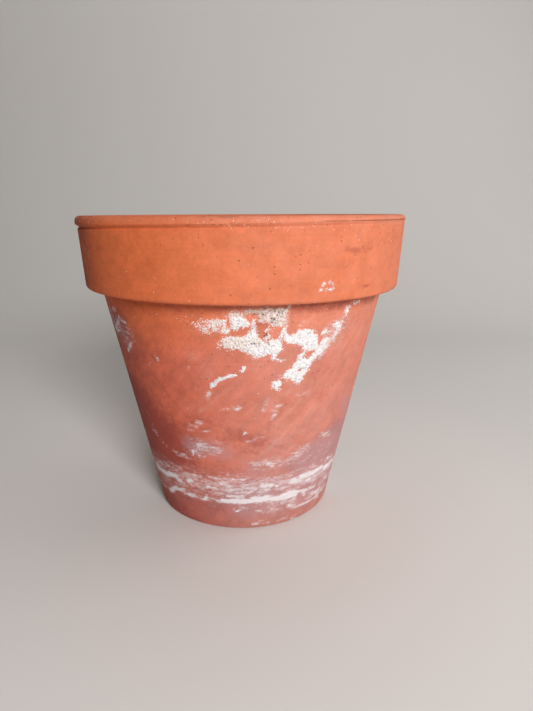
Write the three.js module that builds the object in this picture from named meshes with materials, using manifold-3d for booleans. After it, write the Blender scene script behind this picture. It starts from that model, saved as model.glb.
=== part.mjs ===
// A flower pot in plain fired clay, with a collar round its mouth and one drain hole in its floor. It has been
// used for some years, and lime has grown on its wall as thin hard crusts.
// Millimetres, +Z up, with the origin at the centre of the foot. The side with the crusts looks along -Y.
// The clay is a single fired piece. Each crust is a body of its own, which grew on the clay and flakes off it.

import * as THREE from "three";
import { mergeVertices } from "three/addons/utils/BufferGeometryUtils.js";
import Module from "manifold-3d";

// Driving dimensions
const HEIGHT = 147; // foot to lip
const LIP_RADIUS = 78.6; // the widest point, on the rounded lip
const LIP_HEIGHT = 5; // lip, down to the groove under it
const GROOVE_DEPTH = 0.9;
const COLLAR_TOP_RADIUS = 78;
const COLLAR_BOTTOM_RADIUS = 76.2;
const COLLAR_BOTTOM = 114.2; // height of the collar's flat underside
const WALL_TOP_RADIUS = 69.3; // the wall where it meets the collar
const FOOT_RADIUS = 45;
const RIM_THICKNESS = 9; // the clay at the lip
const WALL_THICKNESS = 7.7; // the clay below the collar
const FLOOR_THICKNESS = 9.5;
const LEDGE_HEIGHT = 4; // the step inside, level with the collar's underside
const DRAIN_RADIUS = 11;
const UNDERSIDE_RECESS = 1.6; // the hollow under the floor, inside the foot ring
const FOOT_RING_WIDTH = 10;
const SEGMENTS = 80; // facets round the pot
const CRUST_GAP = 0.3; // kept between the clay and each crust

const CLAY_COLOUR = 0xc8643c;
const LIME_COLOUR = 0xe9e2d8;

const degrees = THREE.MathUtils.degToRad;

// Radius of the wall's outer face at a height below the collar.
const wallRadius = (z) => FOOT_RADIUS + ((WALL_TOP_RADIUS - FOOT_RADIUS) * z) / COLLAR_BOTTOM;

// Points of a closed outline whose corners, each [radius, height, fillet], are rounded by an arc.
function filleted(corners, arcSteps = 3) {
  const points = [];
  corners.forEach(([r, z, fillet], i) => {
    const corner = new THREE.Vector2(r, z);
    const [before, after] = [corners.at(i - 1), corners[(i + 1) % corners.length]].map(([x, y]) =>
      new THREE.Vector2(x, y).sub(corner).normalize(),
    );
    if (!fillet) {
      points.push(corner);
      return;
    }
    const half = Math.acos(THREE.MathUtils.clamp(before.dot(after), -1, 1)) / 2;
    const centre = before.clone().add(after).setLength(fillet / Math.sin(half)).add(corner);
    const start = before.clone().multiplyScalar(fillet / Math.tan(half)).add(corner).sub(centre);
    const end = after.clone().multiplyScalar(fillet / Math.tan(half)).add(corner).sub(centre);
    const sweep = Math.atan2(start.cross(end), start.dot(end));
    for (let step = 0; step <= arcSteps; step++)
      points.push(start.clone().rotateAround(new THREE.Vector2(), (sweep * step) / arcSteps).add(centre));
  });
  return points;
}

// A solid of revolution about +Z from a closed outline.
function turned(points) {
  return new THREE.LatheGeometry([...points, points[0]], SEGMENTS).rotateX(Math.PI / 2);
}

// The pot's section, from the foot up the outside, over the lip, down the inside and out through the drain hole.
function potSection() {
  const groove = HEIGHT - LIP_HEIGHT;
  const floorRadius = wallRadius(FLOOR_THICKNESS) - WALL_THICKNESS;
  const ledge = COLLAR_BOTTOM + LEDGE_HEIGHT;
  const footInner = FOOT_RADIUS - FOOT_RING_WIDTH;
  return filleted([
    [footInner, 0, 0.6],
    [FOOT_RADIUS, 0, 1.8],
    [WALL_TOP_RADIUS, COLLAR_BOTTOM, 1.2],
    [COLLAR_BOTTOM_RADIUS, COLLAR_BOTTOM, 1.6],
    [COLLAR_TOP_RADIUS, groove - 0.7, 0],
    [COLLAR_TOP_RADIUS - GROOVE_DEPTH, groove, 0],
    [LIP_RADIUS, groove + 1, 0.6],
    [LIP_RADIUS, HEIGHT, 2.6],
    [LIP_RADIUS - RIM_THICKNESS, HEIGHT, 2.6],
    [COLLAR_BOTTOM_RADIUS - RIM_THICKNESS, ledge, 2],
    [WALL_TOP_RADIUS - WALL_THICKNESS, COLLAR_BOTTOM, 3],
    [floorRadius, FLOOR_THICKNESS, 8],
    [DRAIN_RADIUS, FLOOR_THICKNESS, 1.5],
    [DRAIN_RADIUS, UNDERSIDE_RECESS, 1],
    [footInner - 1, UNDERSIDE_RECESS, 0.6],
  ]);
}

// A band of crust all round the wall, between two heights.
function wallBand(low, high, thickness) {
  return turned([
    new THREE.Vector2(wallRadius(low) + CRUST_GAP, low),
    new THREE.Vector2(wallRadius(low) + CRUST_GAP + thickness, low),
    new THREE.Vector2(wallRadius(high) + CRUST_GAP + thickness, high),
    new THREE.Vector2(wallRadius(high) + CRUST_GAP, high),
  ]);
}

const wasm = await Module();
wasm.setup();

function toSolid(geometry) {
  const bare = new THREE.BufferGeometry().setAttribute("position", geometry.getAttribute("position"));
  if (geometry.index) bare.setIndex(geometry.index);
  const merged = mergeVertices(bare, 1e-4);
  return new wasm.Manifold(
    new wasm.Mesh({
      numProp: 3,
      vertProperties: new Float32Array(merged.attributes.position.array),
      triVerts: new Uint32Array(merged.index.array),
    }),
  );
}

function toGeometry(solid) {
  const { vertProperties, triVerts } = solid.getMesh();
  const geometry = new THREE.BufferGeometry()
    .setAttribute("position", new THREE.BufferAttribute(vertProperties, 3))
    .setIndex(new THREE.BufferAttribute(triVerts, 1));
  geometry.computeVertexNormals();
  return geometry;
}

// A wedge that runs out from the pot's axis behind a closed curve through points of [azimuth in degrees, height].
// Azimuth 0 is -Y and grows towards +X.
function wedge(points, steps) {
  const corners = points.map(([azimuth, z]) => new THREE.Vector2(azimuth, z));
  const outline = new THREE.SplineCurve([...corners, corners[0]]).getPoints(steps);
  outline.pop();
  const geometry = new THREE.ExtrudeGeometry(new THREE.Shape(outline), { depth: 1, bevelEnabled: false });
  const position = geometry.getAttribute("position");
  for (let i = 0; i < position.count; i++) {
    const angle = degrees(position.getX(i));
    const radius = THREE.MathUtils.lerp(FOOT_RADIUS / 2, LIP_RADIUS * 1.3, position.getZ(i));
    position.setXYZ(i, radius * Math.sin(angle), -radius * Math.cos(angle), position.getY(i));
  }
  return geometry;
}

// One patch of crust on the wall: the band of crust over the wall's whole height, cut to an outline.
function wallPatch(points, thickness, steps = points.length * 3) {
  const skin = toSolid(wallBand(1, COLLAR_BOTTOM - 1, thickness));
  return toGeometry(skin.intersect(toSolid(wedge(points, steps))));
}

const pot = new THREE.Group();

function add(name, geometry, color, roughness) {
  const mesh = new THREE.Mesh(geometry, new THREE.MeshStandardMaterial({ color, roughness, metalness: 0 }));
  mesh.name = name;
  pot.add(mesh);
}

add("clay_body", turned(potSection()), CLAY_COLOUR, 0.85);

// The thick crust right under the collar, where lime and old soil have set together.
add(
  "lime_crust_under_collar",
  wallPatch(
    [[-12, 107], [-4, 109.5], [4, 112], [15, 112.4], [15.5, 105], [14, 99], [14.5, 90], [9, 90], [2, 92.5],
     [-9, 95]],
    1.3,
  ),
  LIME_COLOUR,
  0.95,
);

// The patch to the right of it.
add(
  "lime_crust_shoulder",
  wallPatch([[15.5, 100.5], [21, 102], [26.5, 101], [29.5, 96], [29, 92.5], [24, 93.5], [20, 96], [16, 96.5]], 1),
  LIME_COLOUR,
  0.95,
);

// The run that comes down from the collar on the right.
add(
  "lime_crust_streak",
  wallPatch(
    [[46, 111.6], [39.5, 107.5], [35.5, 101], [31.5, 92.5], [29, 86], [25.5, 79], [21, 77.5], [17, 80], [20, 87],
     [21.5, 90.5], [28, 91], [32, 97], [36, 104.5], [40, 111]],
    0.8,
  ),
  LIME_COLOUR,
  0.95,
);

// The last drop of that run.
add(
  "lime_crust_drop",
  wallPatch([[11, 79], [13.5, 80.5], [15.8, 79.5], [14.8, 76.8], [12.2, 75.8]], 0.9),
  LIME_COLOUR,
  0.95,
);

// A narrow raised bead of lime, like a snail's trail.
add(
  "lime_bead",
  wallPatch(
    [[-13.6, 77.6], [-11.5, 80], [-8, 82.3], [-3, 84], [-1, 87.2], [0.7, 87.2], [-0.6, 83.8], [-3, 82.6], [-8, 80.8],
     [-11.5, 77.8]],
    0.8,
  ),
  LIME_COLOUR,
  0.95,
);

export default pot;
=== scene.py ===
# A weathered clay flower pot: the turned clay body, the lime grown on it, and a plain studio round it.
import math
from functools import partial

import bmesh
import bpy
import numpy as np
from bpy.props import FloatProperty, FloatVectorProperty, IntProperty, PointerProperty
from bpy.types import Operator, Panel, PropertyGroup
from mathutils import Matrix, Vector, noise


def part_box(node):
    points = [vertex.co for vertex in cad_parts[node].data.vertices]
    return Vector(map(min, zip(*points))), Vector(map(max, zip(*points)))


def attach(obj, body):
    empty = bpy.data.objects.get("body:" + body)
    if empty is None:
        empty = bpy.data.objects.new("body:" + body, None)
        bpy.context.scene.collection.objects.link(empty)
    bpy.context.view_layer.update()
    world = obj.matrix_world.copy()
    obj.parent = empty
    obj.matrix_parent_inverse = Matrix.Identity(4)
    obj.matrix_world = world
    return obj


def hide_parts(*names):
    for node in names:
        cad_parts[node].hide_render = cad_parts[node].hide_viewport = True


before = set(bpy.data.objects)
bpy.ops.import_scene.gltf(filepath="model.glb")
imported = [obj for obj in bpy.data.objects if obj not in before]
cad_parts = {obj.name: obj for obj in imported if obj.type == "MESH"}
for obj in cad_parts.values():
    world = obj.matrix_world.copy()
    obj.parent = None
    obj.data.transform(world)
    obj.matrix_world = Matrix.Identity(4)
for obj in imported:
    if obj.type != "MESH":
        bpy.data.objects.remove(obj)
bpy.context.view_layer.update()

bl_info = {
    "name": "Weathered clay pot",
    "version": (1, 0, 0),
    "blender": (4, 5, 0),
    "location": "3D View > Sidebar > Clay pot",
    "description": "Turns a clay flower pot, grows lime and salt on its wall and lights it",
    "category": "Object",
}

CLAY_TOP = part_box("clay_body")[1]
MM = 0.001
CORNER_STEPS = 6  # rows of faces round a rounded corner
CRUST_GRID = 0.22  # mm between the points of a crust


# ---------------------------------------------------------------- what a user would change


class PotShape(PropertyGroup):
    """Sizes of the clay body."""

    height: FloatProperty(name="Height", description="Foot to lip", default=CLAY_TOP.z, unit="LENGTH")
    collar_bottom: FloatProperty(
        name="Collar underside", description="Height of its lower face", default=0.1142, unit="LENGTH"
    )
    collar_radius: FloatProperty(
        name="Collar radius", description="Collar at its top, by the groove", default=0.078, unit="LENGTH"
    )
    collar_taper: FloatProperty(
        name="Collar taper", description="How far it narrows downwards", default=0.0018, unit="LENGTH"
    )
    wall_radius: FloatProperty(
        name="Wall radius", description="The wall where the collar begins", default=0.0693, unit="LENGTH"
    )
    foot_radius: FloatProperty(
        name="Foot radius", description="Outside of the foot", default=0.045, unit="LENGTH"
    )
    rim_thickness: FloatProperty(
        name="Rim thickness", description="Clay at the lip", default=0.009, unit="LENGTH"
    )
    wall_thickness: FloatProperty(
        name="Wall thickness", description="Clay below the collar", default=0.0077, unit="LENGTH"
    )
    floor_thickness: FloatProperty(
        name="Floor thickness", description="Clay under the soil", default=0.0095, unit="LENGTH"
    )
    drain_radius: FloatProperty(
        name="Drain hole radius", description="Hole in the floor", default=0.011, unit="LENGTH"
    )
    facets: IntProperty(name="Facets", description="Faces round the pot", default=336, min=24)
    ring_depth: FloatProperty(
        name="Turning rings", description="Depth of the rings", default=0.00009, unit="LENGTH"
    )
    waviness: FloatProperty(
        name="Waviness", description="How far the wall strays from round", default=0.0004, unit="LENGTH"
    )


class PotFinish(PropertyGroup):
    """Colours of the clay and of what has grown on it, some of which also paint shade and light."""

    collar_clay: FloatVectorProperty(
        name="Collar clay", description="Clean fired clay", default=(0.66, 0.135, 0.034), subtype="COLOR"
    )
    wall_clay: FloatVectorProperty(
        name="Wall clay", description="Clay under the collar", default=(0.60, 0.123, 0.064), subtype="COLOR"
    )
    low_clay: FloatVectorProperty(
        name="Low clay", description="Clay near the foot", default=(0.46, 0.113, 0.083), subtype="COLOR"
    )
    # Also the colour of painted shade: the pot's shaded left, the shadow under the collar, the groove under
    # the lip and the clay's pits.
    damp_and_shade_clay: FloatVectorProperty(
        name="Damp stain", description="Old damp, deep red", default=(0.29, 0.045, 0.035), subtype="COLOR"
    )
    # Also the pale tint of painted light on the lit right side.
    dust_and_light: FloatVectorProperty(
        name="Dust", description="Pale dust", default=(0.68, 0.42, 0.35), subtype="COLOR"
    )
    # Also greys the pits of the lime crust, as painted shade.
    haze: FloatVectorProperty(
        name="Haze", description="Thin violet veil of salt", default=(0.42, 0.25, 0.27), subtype="COLOR"
    )
    salt: FloatVectorProperty(
        name="Salt", description="Dry salt", default=(0.84, 0.78, 0.80), subtype="COLOR"
    )
    lime: FloatVectorProperty(
        name="Lime", description="Dry lime crust", default=(0.80, 0.79, 0.80), subtype="COLOR"
    )
    old_lime: FloatVectorProperty(
        name="Old lime", description="Lime stained by the clay", default=(0.80, 0.64, 0.54), subtype="COLOR"
    )
    soil: FloatVectorProperty(
        name="Old soil", description="Soil set in the crust", default=(0.55, 0.39, 0.26), subtype="COLOR"
    )


class CrumbScatter(PropertyGroup):
    """The single crumbs of lime."""

    density: FloatProperty(name="Density", description="Crumbs to the square metre, at most", default=0.9e6)
    smallest: FloatProperty(
        name="Smallest", description="Radius of the smallest crumb", default=0.00006, unit="LENGTH"
    )
    largest: FloatProperty(
        name="Largest", description="Radius of the largest crumb", default=0.00024, unit="LENGTH"
    )
    seed: IntProperty(name="Seed", description="Another seed lays the crumbs another way", default=7)


class StudioLook(PropertyGroup):
    """Floor and lights."""

    floor_colour: FloatVectorProperty(
        name="Floor", description="Plain pale floor", default=(0.72, 0.69, 0.66), subtype="COLOR"
    )
    key_power: FloatProperty(
        name="Key light", description="Soft light, front right", default=8.8, subtype="POWER"
    )
    fill_power: FloatProperty(
        name="Fill light", description="Soft light from the right", default=2.0, subtype="POWER"
    )
    back_power: FloatProperty(
        name="Backdrop light", description="Washes the back wall", default=2.4, subtype="POWER"
    )
    sky: FloatProperty(name="Sky", description="Light from all round", default=0.04, min=0.0)


# ---------------------------------------------------------------- node building


class Nodes:
    """Adds nodes to a tree and joins them. A socket given as a value is linked, anything else is set."""

    def __init__(self, tree):
        self.tree = tree

    def add(self, kind, *values, **settings):
        node = self.tree.nodes.new(kind)
        named = settings.pop("inputs", {})
        for key, value in settings.items():
            setattr(node, key, value)
        for key, value in [*enumerate(values), *named.items()]:
            if isinstance(value, bpy.types.NodeSocket):
                self.tree.links.new(value, node.inputs[key])
            elif value is not None:
                node.inputs[key].default_value = value
        return node

    def math(self, operation, *values):
        return self.add("ShaderNodeMath", *values, operation=operation).outputs[0]

    def vector(self, operation, *values):
        return self.add("ShaderNodeVectorMath", *values, operation=operation).outputs[0]

    def xyz(self, x, y, z):
        return self.add("ShaderNodeCombineXYZ", x, y, z).outputs[0]

    def mix(self, factor, a, b):
        node = self.add("ShaderNodeMix", data_type="FLOAT", inputs={0: factor, 2: a, 3: b})
        return node.outputs[0]

    def mix_vector(self, factor, a, b):
        return self.add("ShaderNodeMix", data_type="VECTOR", inputs={0: factor, 4: a, 5: b}).outputs[1]

    def blend(self, factor, a, b, how="MIX"):
        inputs = {0: factor, 6: a, 7: b}
        return self.add("ShaderNodeMix", data_type="RGBA", blend_type=how, inputs=inputs).outputs[2]

    def noise(self, where, scale, detail=2.0, roughness=0.5):
        inputs = {"Vector": where, "Scale": scale, "Detail": detail, "Roughness": roughness}
        return self.add("ShaderNodeTexNoise", inputs=inputs).outputs[0]

    def step(self, value, low, high, start=0.0, end=1.0):
        """A soft step from start to end as value goes from low to high."""
        node = self.add("ShaderNodeMapRange", value, low, high, start, end, interpolation_type="SMOOTHSTEP")
        return node.outputs[0]


def new_tree(name, kind, inputs, outputs):
    """A node tree with named sockets, given as {name: (type, default)} and {name: type}."""
    tree = bpy.data.node_groups.new(name, kind)
    for label, (socket, default) in inputs.items():
        made = tree.interface.new_socket(name=label, in_out="INPUT", socket_type=socket)
        if default is not None:
            made.default_value = default
    for label, socket in outputs.items():
        tree.interface.new_socket(name=label, in_out="OUTPUT", socket_type=socket)
    nodes = Nodes(tree)
    return tree, nodes, nodes.add("NodeGroupInput").outputs


FLOAT, VECTOR, GEOMETRY = "NodeSocketFloat", "NodeSocketVector", "NodeSocketGeometry"
INTEGER, MATERIAL = "NodeSocketInt", "NodeSocketMaterial"


def bake_nodes(source, tree, values, name):
    """Runs a geometry tree on an object and keeps the result as a plain mesh."""
    modifier = source.modifiers.new(tree.name, "NODES")
    modifier.node_group = tree
    for item in tree.interface.items_tree:
        if item.item_type == "SOCKET" and item.in_out == "INPUT" and item.name in values:
            modifier[item.identifier] = values[item.name]
    bpy.context.view_layer.update()
    evaluated = source.evaluated_get(bpy.context.evaluated_depsgraph_get())
    mesh = bpy.data.meshes.new_from_object(evaluated)
    mesh.name = name
    mesh.materials.clear()  # the tree leaves an empty slot in front of its own
    mesh.materials.append(values["Material"])
    for face in mesh.polygons:
        face.material_index = 0
    source.modifiers.remove(modifier)
    return mesh


def place(name, mesh, slot, *stands_for):
    """Puts a finished mesh in the scene as a piece of the pot."""
    piece = bpy.data.objects.new(name, mesh)
    bpy.context.scene.collection.objects.link(piece)
    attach(piece, "root")
    if stands_for:
        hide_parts(*stands_for)
    return piece


# ---------------------------------------------------------------- marks on the wall


def wall_radius_at(z, shape):
    """Outside of the pot at height z, lip and groove left out. z may be an array."""
    share = (z - shape.collar_bottom) / (shape.height - shape.collar_bottom)
    collar = shape.collar_radius - shape.collar_taper * (1 - share)
    wall = shape.foot_radius + (shape.wall_radius - shape.foot_radius) * z / shape.collar_bottom
    return np.where(z > shape.collar_bottom, collar, wall)


def smooth(value, low, high):
    """A soft step from 0 to 1 as value goes from low to high."""
    t = np.clip((value - low) / (high - low), 0, 1)
    return t * t * (3 - 2 * t)


class Wall:
    """Points on the pot's outside, as azimuth in degrees (0 is -Y, growing towards +X) and height in mm."""

    def __init__(self, azimuth, z, shape):
        self.azimuth, self.z = azimuth, z
        self.radius = wall_radius_at(z * MM, shape) / MM

    def offset(self, at):
        """Distance in mm along the wall from a point, sideways and upwards."""
        turn = (self.azimuth - at[0] + 180) % 360 - 180
        return np.radians(turn) * self.radius, self.z - at[1]

    def to_stroke(self, path):
        """Distance in mm to a line of straight stretches."""
        best = np.full(self.azimuth.shape, 1e9)
        for start, end in zip(path, path[1:]):
            across, up = self.offset(start)
            width = math.radians(end[0] - start[0]) * self.radius
            rise = end[1] - start[1]
            share = np.clip((across * width + up * rise) / (width**2 + rise**2 + 1e-9), 0, 1)
            best = np.minimum(best, np.hypot(across - share * width, up - share * rise))
        return best

    def to_patch(self, outline):
        """Distance in mm to an outline's edge, negative inside."""
        edge = self.to_stroke([*outline, outline[0]])
        inside = np.zeros(self.azimuth.shape, bool)
        turn = (self.azimuth - outline[0][0] + 180) % 360 - 180 + outline[0][0]
        for (a0, z0), (a1, z1) in zip(outline, [*outline[1:], outline[0]]):
            if z0 != z1:
                crossing = a0 + (self.z - z0) / (z1 - z0) * (a1 - a0)
                inside ^= ((z0 > self.z) != (z1 > self.z)) & (turn < crossing)
        return np.where(inside, -edge, edge)

    def strokes(self, marks, soft=0.5):
        """The strongest of several strokes. Each is (strength, width in mm, *points of the line)."""
        total = np.zeros(self.azimuth.shape)
        for strength, width, *path in marks:
            path = path if len(path) > 1 else [path[0], path[0]]
            reach = smooth(self.to_stroke(path), width / 2 * (1 + soft), width / 2 * (1 - soft))
            total = np.maximum(total, strength * reach)
        return total


def cloud(points, scale, octaves=4):
    """Fractal noise from about -1 to 1 at points in mm, with features about scale mm across."""
    return np.array([noise.fractal(Vector(p) / scale, 0.8, 2.0, octaves) for p in points])


# Lime that has grown thick enough to stand off the wall. fray is how ragged its edge is, in mm. A patch is
# (strength, *outline) and a bare island (width, *points of a line), in degrees and millimetres.
LIME = {
    "lime_crust_under_collar": {
        "thickness": 0.5,
        "fray": 0.7,
        "patches": [
            # a smooth white plate
            (1.3, (-5, 108.2), (-4.6, 106), (-3.6, 103.4), (-2.6, 103), (-1.6, 104.3), (0.6, 105),
             (2, 104.6), (1.2, 107), (-0.6, 108.4), (-3, 108.5)),
            # the slab below it, cream on the left and white on the right, which runs on round a bare island
            (0.98, (-7.6, 99.6), (-5.5, 100.6), (-2, 100.1), (1, 101.2), (2.4, 102.8), (3, 104.8),
             (3.3, 107.2), (3.9, 107), (4.1, 104.4), (4.3, 101.6), (5, 99.6), (6.6, 98), (8.2, 97.2),
             (8, 101.2), (7.6, 103), (8.8, 103), (9.2, 99.6), (10.6, 98.2), (12.4, 99.4), (13.2, 102.4),
             (13.4, 104.2), (14.9, 104.4), (14, 101), (13.4, 98), (13.8, 94.2), (12.3, 92.2), (12.2, 90.4),
             (14.6, 89), (10.2, 90), (9.8, 92.4), (9.2, 93.4), (8.2, 91.7), (4.6, 91.2), (2, 92.6),
             (0.8, 94.2), (-1.7, 94.5), (-6.6, 94.9), (-7.6, 96), (-9.2, 96), (-9, 96.6), (-7.4, 97.2),
             (-7.9, 98.4)),
            # set together with old soil, right under the collar
            (0.66, (-6, 108.8), (-4, 110), (0, 111), (3, 112.3), (15.2, 112.6), (15, 110), (14, 107.6),
             (14.6, 104.6), (12, 104.1), (8.6, 104.6), (7.6, 106), (5, 106.8), (4, 109.8), (1, 109.6),
             (-1, 108.8)),
            # crumbs that thin out to the left
            (0.7, (-8.4, 103), (-7.4, 106.6), (-6.8, 108.2), (-5.4, 108), (-5.2, 105), (-4.6, 102.2),
             (-6.4, 101.2), (-7.6, 101.8)),
            (0.5, (-13, 104), (-12, 107.6), (-7, 108.4), (-7, 105), (-8, 101.6), (-11, 102)),
            (0.33, (-19, 105), (-15.4, 107.6), (-11, 108.4), (-10.4, 104), (-12, 100.6), (-16, 102.4)),
        ],
        "bare": [
            (0.7, (-5.3, 106.6), (-4.6, 103.6), (-3.4, 101.6)), (1.6, (1.7, 108), (3, 108.9)),
            (0.9, (8.2, 107.2), (9, 107.8)),
        ],
    },
    "lime_crust_shoulder": {
        "thickness": 0.4,
        "fray": 0.6,
        "patches": [
            (1.02, (14, 99.4), (14.4, 101.6), (16, 100.8), (18, 100.3), (20, 102.3), (24, 102),
             (26.2, 100.2), (28, 97), (28.6, 94), (28, 92.6), (26, 92.9), (22.8, 92.7), (21.4, 95),
             (19.4, 96), (15.4, 96.6), (14.4, 97.8)),
        ],
        "bare": [],
    },
    "lime_crust_streak": {
        "thickness": 0.36,
        "fray": 0.6,
        "patches": [
            (1.05, (28.6, 92.6), (27.6, 92.4), (27, 91), (25.8, 89.6), (24.8, 88.4), (22.6, 89.4),
             (22.8, 91), (22, 92), (20.8, 91.4), (20.2, 89.4), (19.2, 87.6), (18.9, 85.6), (16, 84.7),
             (15.8, 83.4), (14, 82.2), (15.4, 81), (17.8, 80.6), (20.2, 78.4), (22.4, 77.4), (23.4, 78.6),
             (23.2, 80.4), (25.8, 83.4), (26.6, 86.6), (28.4, 88.6)),
            (0.72, (28.4, 92.6), (28, 88.8), (30.4, 89.6), (32, 91.4), (33.6, 94.2), (32.6, 96.4),
             (30.4, 97.4), (29, 96)),
            (0.72, (28.6, 98.8), (29, 100.6), (31, 101.7), (31.8, 101.2), (31, 99.2), (29.6, 98.6)),
            (0.6, (33.6, 95), (36, 97.6), (38.4, 99.6), (39, 102), (38, 103.6), (36, 103.8), (33, 102.8),
             (34.6, 101.8), (36, 100), (34.6, 97)),
            (0.62, (40, 105), (39.4, 107.4), (38.6, 109), (39.6, 110), (40.8, 109.6), (40.6, 107)),
            (0.7, (40.6, 110), (42, 110.8), (46.4, 111.8), (46.4, 111.3), (42.6, 110.2)),
        ],
        "bare": [(1.1, (21.3, 83.6), (22.7, 84.7))],
    },
    "lime_crust_drop": {
        "thickness": 0.42,
        "fray": 0.8,
        "patches": [
            (1.1, (11.2, 79.2), (12.2, 80.1), (13.8, 79.8), (15.2, 78.6), (14, 77.8), (14, 76.6),
             (13.4, 75.2), (12.4, 76), (11, 77.2)),
        ],
        "bare": [],
    },
    "lime_bead": {
        "thickness": 0.6,
        "fray": 0.15,
        "patches": [
            (1.5, (-13.6, 77.6), (-13.4, 78.8), (-10.6, 80.6), (-9.6, 82), (-7, 82.8), (-2.4, 84),
             (-2.4, 83), (-7, 81.6), (-9.6, 80.2), (-11.4, 78), (-12.4, 77)),
            (1.0, (-1.5, 84.4), (-1.3, 86), (-0.6, 87.4), (0.5, 87.2), (0.2, 85.4), (-0.4, 84)),
        ],
        "bare": [],
    },
}

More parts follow.
